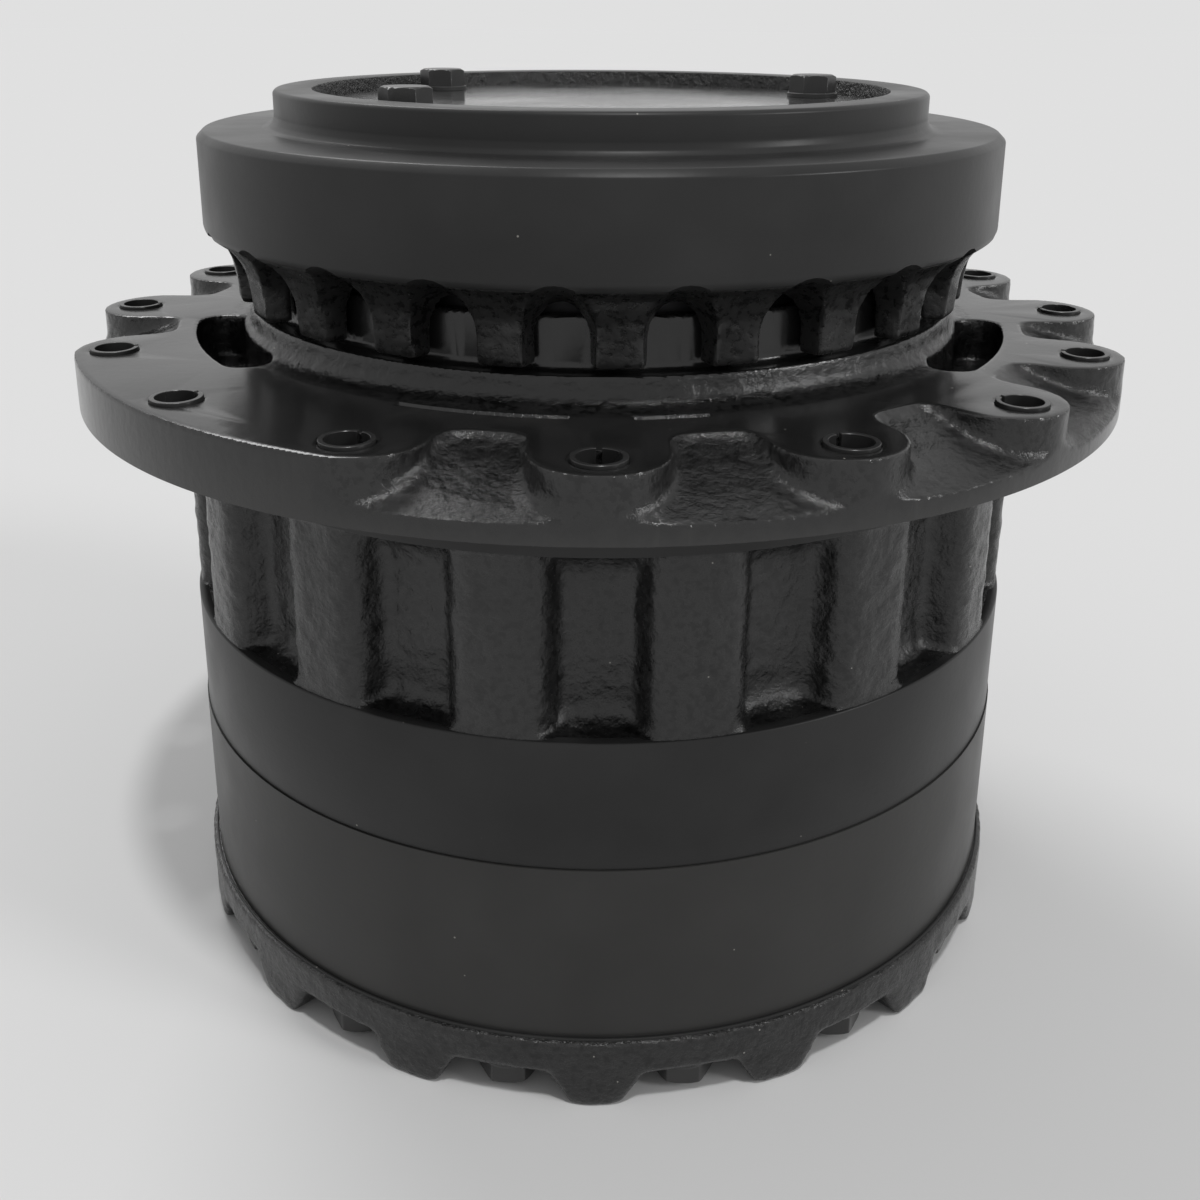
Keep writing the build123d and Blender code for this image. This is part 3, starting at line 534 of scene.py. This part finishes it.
drum = {
    "split": 399.2,           # cut in two here, in the flange's rim
    "bandSection": [(300, 167.6), (300, 250.2), (299.2, 251), (293, 251), (293, 247),
                    (220, 247), (220, 196), (248.4, 196), (248.4, 167), (299.4, 167)],
    "registerSection": [(303.5, 366.6), (303.5, 399), (292, 399), (292, 366)],
    "columnSection": [(206, 246), (299, 246), (299, 398), (365, 398), (365, 408), (206, 408)],
    "topFillet": [(302, 367), (302, 400), (262, 400), (262, 338), (274, 338), (275.2, 346),
                  (278.5, 353.5), (284, 360), (292, 364.8), (298, 366.4)],
    "footFillet": [(262, 246), (292, 246), (292, 250.6), (284, 251.4), (279.5, 253.5),
                   (276.5, 257), (275, 262), (262, 264)],
    "flangeSection": [(206, 390), (363.5, 390), (365, 391.5), (365, 434.8), (363.8, 436),
                      (263.5, 436), (258, 436.9), (254, 439.2), (251.4, 442.8),
                      (250.2, 447), (249, 453), (237.5, 453), (236, 454.5),
                      (236, 483.5), (235, 484.5), (227, 484.5), (226, 483.5),
                      (226, 467), (220, 467), (220, 410), (206, 410)],
    "flangeTop": 436,
    "spokes": 16,             # bolt seats, pockets, columns and valleys
    "plainGaps": (-33.75, -56.25),   # no pocket here
    "valleyOutline": [(274.5, 17), (275.4, 20.5), (278.5, 23.5), (284, 26), (289, 28.2),
                      (292.6, 31), (294.8, 35), (295.7, 40), (295.6, 45.5), (303, 50)],
    "valleyLow": 251,
    "valleyHigh": 400,
    "pocketOutline": [(299, 13), (301, 19), (305, 22.5), (311, 24.5), (320.6, 25.8),
                      (330.4, 27.1), (339.6, 30.9), (347.5, 36.9), (353.5, 44.8),
                      (356.7, 52.1), (358.4, 59.8), (358.5, 67.1), (357.3, 73.3),
                      (355.8, 78.3), (378, 84)],
    "pocketLip": 434,
    "pocketSlope": 1 / 3,
    "pocketTall": 30,         # height of the cutter
    "pocketVoxel": 3,
    "pocketRounding": 14,
    "sleeveCircle": 340,
    "sleeveRadius": 15,
    "sleeveHoles": (385, 445),       # heights between which the holes are cut
    "kidney": (255, 287, 12.5),      # inner and outer radius, half sweep in degrees
    "kidneyMiddle": 67.5,
    "kidneyFloor": 406,
    "kidneyTall": 60,         # height of the cutter
    "mouldMarks": ((-25, -3.5), (4, 13)),   # degrees from the front
    "markRadii": (270, 276),
    "markFloor": 434.4,
    "markTall": 2.8,          # height of the cutter
    "markLean": 2.2,          # mm, the inner side leans back by this much at the top
    "flange": {"voxel": 1.7, "rounding": 1, "lumpSize": 13, "lumpHeight": 1.3,
               "triangles": 190000,
               "softer": [(lambda r, z: 300 < r < 362.5 and 402 < z < 434, 8),
                          (lambda r, z: 239 < r < 264 and 436.5 < z < 447, 2)],
               "rough": lambda r, z: (302 < r < 363 and 402 < z < 433)
               or (250 < r < 264 and 436.4 < z < 449) or (240 < r < 292 and 402 < z < 433)},
    "columns": {"voxel": 2.1, "rounding": 3, "lumpSize": 12, "lumpHeight": 2.0,
                "triangles": 180000,
                "softer": [(lambda r, z: 262 < r < 301 and 253 < z < 362, 24),
                           (lambda r, z: 262 < r < 290 and (z < 268 or 345 < z < 366), 8)],
                "rough": lambda r, z: 262 < r < 300 and 252 < z < 364},
}


def mirroredOutline(degrees, half, height):
    # Both halves of an outline from the one that is given as (out, side)
    sides = [(out, side) for out, side in half] + [(out, -side) for out, side in half[::-1]]
    return [atDegrees(degrees, out, side, height) for out, side in sides]


def valleyCutter(degrees):
    low, high = drum["valleyLow"], drum["valleyHigh"]
    return drawnBlock("valley", mirroredOutline(degrees, drum["valleyOutline"], low),
                      (0, 0, high - low))


def pocketCutter(degrees):
    # Its floor slopes down towards the flange's rim, with round corners
    outline = drum["pocketOutline"]
    block = drawnBlock("pocket", mirroredOutline(degrees, outline, drum["pocketLip"]),
                       (0, 0, drum["pocketTall"]))
    for vertex in block.data.vertices:
        if vertex.co.z < (drum["pocketLip"] + 1) * mm:
            out = math.hypot(vertex.co.x, vertex.co.y) / mm
            vertex.co.z -= (out - outline[0][0]) * drum["pocketSlope"] * mm
    applyModifier(block, "REMESH", mode="VOXEL", voxel_size=drum["pocketVoxel"] * mm)
    applyModifier(block, "SMOOTH", factor=0.5, iterations=drum["pocketRounding"])
    return block


def isPlain(degrees):
    return any(abs((degrees - gap + 180) % 360 - 180) < 1 for gap in drum["plainGaps"])


def sleeveCutter(degrees):
    low, high = drum["sleeveHoles"]
    middle = Vector((0, 0, (low + high) / 2 * mm))
    bpy.ops.mesh.primitive_cylinder_add(
        vertices=48, radius=drum["sleeveRadius"] * mm, depth=(high - low) * mm,
        location=placedOnCircle(drum["sleeveCircle"], degrees) + middle)
    return bpy.context.object


def markCutter(start, end):
    # The side next to the collar leans back and catches the light
    inner, outer = drum["markRadii"]
    mark = drawnBlock("mark", arcSlot(inner, outer, start, end, drum["markFloor"],
                                      roundEnds=False), (0, 0, drum["markTall"]))
    for vertex in mark.data.vertices:
        out = math.hypot(vertex.co.x, vertex.co.y) / mm
        if vertex.co.z > (drum["markFloor"] + 1) * mm and out < inner + 1:
            vertex.co.xy *= (inner - drum["markLean"]) / inner
    return mark


seatAngles = [360 / drum["spokes"] * i for i in range(drum["spokes"])]
columnAngles = [angle + 180 / drum["spokes"] for angle in seatAngles]
drumColumns = turnedPiece("drumColumns", drum["columnSection"], rounding=0)
cutWith(drumColumns, [valleyCutter(angle) for angle in seatAngles])
cutWith(drumColumns, [sleeveCutter(angle) for angle in seatAngles])
# the fillets come after the last cut, which can drop a ring that overlaps the piece, and
# the even mesh of the cast skin makes one solid of the three
drumColumns = joined([drumColumns, turnedPiece("topFillet", drum["topFillet"], rounding=0),
                      turnedPiece("footFillet", drum["footFillet"], rounding=0)],
                     "drumColumns")
drumFlange = turnedPiece("drumFlange", drum["flangeSection"], rounding=0)
inner, outer, sweep = drum["kidney"]
kidneys = [drawnBlock("kidney", arcSlot(inner, outer, middle - sweep, middle + sweep,
                                        drum["kidneyFloor"]), (0, 0, drum["kidneyTall"]))
           for middle in (-drum["kidneyMiddle"], drum["kidneyMiddle"])]
cutWith(drumFlange, kidneys + [sleeveCutter(angle) for angle in seatAngles])
for first in (0, 1):
    # neighbouring pockets meet before the bolt seats, so every second one is cut at a time
    cutWith(drumFlange, [pocketCutter(angle) for angle in columnAngles[first::2]
                         if not isPlain(angle)])
castSkin(drumFlange, drum["flange"])
cutWith(drumFlange, [markCutter(start, end) for start, end in drum["mouldMarks"]])
castSkin(drumColumns, drum["columns"])
cutAt(drumFlange, drum["split"], "above")
cutAt(drumColumns, drum["split"], "below")
drumBand = turnedPiece("drumBand", drum["bandSection"], rounding=0.4)
drumRegister = turnedPiece("drumRegister", drum["registerSection"], rounding=0.5)
for piece, material, slot in ((drumFlange, flangeBlack, "black_cast_paint"),
                              (drumColumns, castBlack, "black_cast_paint"),
                              (drumRegister, machinedBlack, "black_machined_paint"),
                              (drumBand, machinedBlack, "black_machined_paint")):
    finishPiece(piece, material, "housing")
    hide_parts("drum")
    print(piece.name, len(piece.data.polygons))

# The end cover: a casting below, the turned seat of the ring gear above it

cover = {
    "joint": 47.4,
    "seatSection": [(303.4, 44), (303.4, 48.8), (302.2, 48.8), (302, 45.6), (301.2, 45.6),
                    (301, 49), (250, 49), (250, 44)],
    "casting": {"voxel": 2.2, "rounding": 3, "lumpSize": 14, "lumpHeight": 1.2,
                "triangles": 170000,
                "softer": [(lambda r, z: r > 255 and z < 27, 20)],
                "rough": lambda r, z: r > 200 and (z < 43 or r > 304)},
    "washerSection": [(21, 19), (21, 22), (13, 22), (13, 19)],
    "bolts": 16,
    "boltCircle": 280,
}
endCover = copyOfNode("end_cover", "endCover", flatten=False)
cutAt(endCover, cover["joint"], "below")
castSkin(endCover, cover["casting"])
coverSeat = turnedPiece("coverSeat", cover["seatSection"], rounding=0.3)
for piece, material, slot in ((endCover, castBlack, "black_cast_paint"),
                              (coverSeat, machinedBlack, "black_machined_paint")):
    finishPiece(piece, material, "housing")
    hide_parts("end_cover")

washers = [turnedPiece("coverWasher01", cover["washerSection"], steps=40, rounding=0.5)]
for i in range(1, cover["bolts"]):
    piece = washers[0].copy()
    piece.data = washers[0].data.copy()
    piece.name = f"coverWasher{i + 1:02d}"
    bpy.context.scene.collection.objects.link(piece)
    washers.append(piece)
boltAngles = [360 / cover["bolts"] * (i + 0.5) for i in range(cover["bolts"])]
for piece, angle in zip(washers, boltAngles):
    piece.location = placedOnCircle(cover["boltCircle"], angle)
    pickOnly(piece)
    bpy.ops.object.transform_apply(location=True)
    finishPiece(piece, boltBlack, "housing")
print("end cover made")

# Pieces that keep the CAD node's shape, on a merged mesh

heads = {
    # node: circle, degrees from the front, flats, end face, where the chamfer runs out
    "motor_plate_bolts": (165, (-48, 108, -131), 30, 602, 598),
    "cover_bolts": (cover["boltCircle"], boltAngles, 36, 5, 10),
}
chamferInset = 0.7            # mm inside the flats, where the chamfer meets the end face
chamferSlope = 1.73           # mm out for each mm of height
dressed = {
    "motor_plate": ("motorPlate", plateBlack, "hub", "black_machined_paint"),
    "motor_plate_bolts": ("motorPlateBolts", boltBlack, "hub", "black_bolt_steel"),
    "flange_sleeves": ("flangeSleeves", boltBlack, "housing", "black_bolt_steel"),
    "ring_gear": ("ringGear", machinedBlack, "housing", "black_machined_paint"),
    "cover_bolts": ("coverBolts", boltBlack, "housing", "black_bolt_steel"),
    "cover_plugs": ("coverPlugs", boltBlack, "housing", "black_bolt_steel"),
}
sleeveStand = 1.8             # mm above the flange, as in the photograph
roundings = {"flange_sleeves": 0.5, "cover_bolts": 1.2, "motor_plate_bolts": 0.9,
             "cover_plugs": 0.6, "motor_plate": 0.8}


def headChamfer(circle, degrees, flats, end, low):
    # A turned ring that takes the corners off a hexagon head
    start = flats / 2 - chamferInset
    reach = start + abs(end - low) * chamferSlope
    past = 2 * end - low
    corners = [(start, end), (start, past), (reach, past), (reach, low)]
    ring = turnedPiece("headChamfer", corners, steps=48, rounding=0)
    ring.location = placedOnCircle(circle, degrees)
    pickOnly(ring)
    bpy.ops.object.transform_apply(location=True)
    return ring


for node, (name, material, body, slot) in dressed.items():
    piece = copyOfNode(node, name)
    if node == "flange_sleeves":
        for vertex in piece.data.vertices:
            vertex.co.z = min(vertex.co.z, (drum["flangeTop"] + sleeveStand) * mm)
    if node in roundings:
        applyModifier(piece, "BEVEL", width=roundings[node] * mm, segments=3,
                      limit_method="ANGLE", angle_limit=math.radians(40))
    if node in heads:
        # cut after the rounding, which the short edges of the cut would stop
        circle, angles, flats, end, low = heads[node]
        cutWith(piece, [headChamfer(circle, angle, flats, end, low) for angle in angles])
        applyModifier(piece, "WELD", merge_threshold=0.01 * mm)
    finishPiece(piece, material, body)
    applyModifier(piece, "WEIGHTED_NORMAL", keep_sharp=True)   # flat faces stay flat
    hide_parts(node)
    print(name, len(piece.data.polygons))

# Nodes that stay as they are get the metal of the last of these words in their names, and
# gears, shafts, pins and screws get gear steel

innerMetals = {"bearing": bearingSteel, "carrier": carrierIron, "seal": sealIron,
               "input_shaft_seal": rubber, "thrust": wearBronze}
for node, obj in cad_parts.items():
    if not obj.hide_render:
        metal = [m for word, m in innerMetals.items() if word in node]
        obj.data.materials.clear()
        obj.data.materials.append(metal[-1] if metal and "screw" not in node else gearSteel)

# Floor, light and camera

studio = {
    "floor": "#e2e2e2",
    "behind": "#e0e0e0",      # what the camera, reflections and clear things see
    "ambient": 0.38,          # strength of the light that comes from all round
    "floorSize": 60,          # m
}
bpy.ops.mesh.primitive_plane_add(size=studio["floorSize"])
floor = bpy.context.object
floor.name = "floor"
material, tree, output, _ = newMaterial("paleFloor")
shader = addNode(tree, "ShaderNodeBsdfDiffuse", {"Color": linear(studio["floor"])})
tree.links.new(shader.outputs[0], output.inputs[0])
floor.data.materials.append(material)

world = bpy.data.worlds.new("studio")
bpy.context.scene.world = world
world.use_nodes = True
tree = world.node_tree
tree.nodes.clear()
output = addNode(tree, "ShaderNodeOutputWorld")
ambient = addNode(tree, "ShaderNodeBackground", {"Color": linear("#ffffff"),
                                                 "Strength": studio["ambient"]})
seen = addNode(tree, "ShaderNodeBackground", {"Color": linear(studio["behind"]),
                                              "Strength": 1.0})
rays = addNode(tree, "ShaderNodeLightPath")
straight = addNode(tree, "ShaderNodeMath", {0: rays.outputs["Is Camera Ray"],
                                            1: rays.outputs["Is Glossy Ray"]},
                   operation="MAXIMUM")
through = addNode(tree, "ShaderNodeMath", {0: straight.outputs[0],
                                           1: rays.outputs["Is Transmission Ray"]},
                  operation="MAXIMUM")
mixed = addNode(tree, "ShaderNodeMixShader", {0: through.outputs[0], 1: ambient.outputs[0],
                                              2: seen.outputs[0]})
tree.links.new(mixed.outputs[0], output.inputs[0])

lamps = {
    # name: where it stands seen from the object, strength, width of its disc in degrees
    "backLeft": ((-0.35, 0.57, 0.74), 0.9, 24),
    "overhead": ((0.1, -0.3, 1.0), 0.95, 5),
    "rightSide": ((1.0, -0.4, 0.5), 0.75, 15),
}
for name, (place, strength, width) in lamps.items():
    lamp = bpy.data.objects.new(name, bpy.data.lights.new(name, "SUN"))
    lamp.data.energy = strength
    lamp.data.angle = math.radians(width)
    lamp.rotation_euler = Vector(place).to_track_quat("Z", "Y").to_euler()
    bpy.context.scene.collection.objects.link(lamp)

shot = {
    # solved from the flange holes in the photograph
    "lens": 39.84,
    "shift": (0.0005, -0.157),
    "down": 17.23,            # degrees below the horizon
    "roll": 0.32,             # degrees
    "place": (0, -0.963, 0.654),
}
camera = bpy.data.objects.new("camera", bpy.data.cameras.new("camera"))
camera.data.lens = shot["lens"]
camera.data.sensor_width = 36
camera.data.shift_x, camera.data.shift_y = shot["shift"]
tilt = Matrix.Rotation(math.radians(90 - shot["down"]), 4, "X")
roll = Matrix.Rotation(math.radians(shot["roll"]), 4, "Z")
camera.matrix_world = Matrix.Translation(shot["place"]) @ (tilt @ roll)
bpy.context.scene.collection.objects.link(camera)
bpy.context.scene.camera = camera
bpy.context.scene.view_settings.view_transform = "Standard"
print("floor, light and camera set")
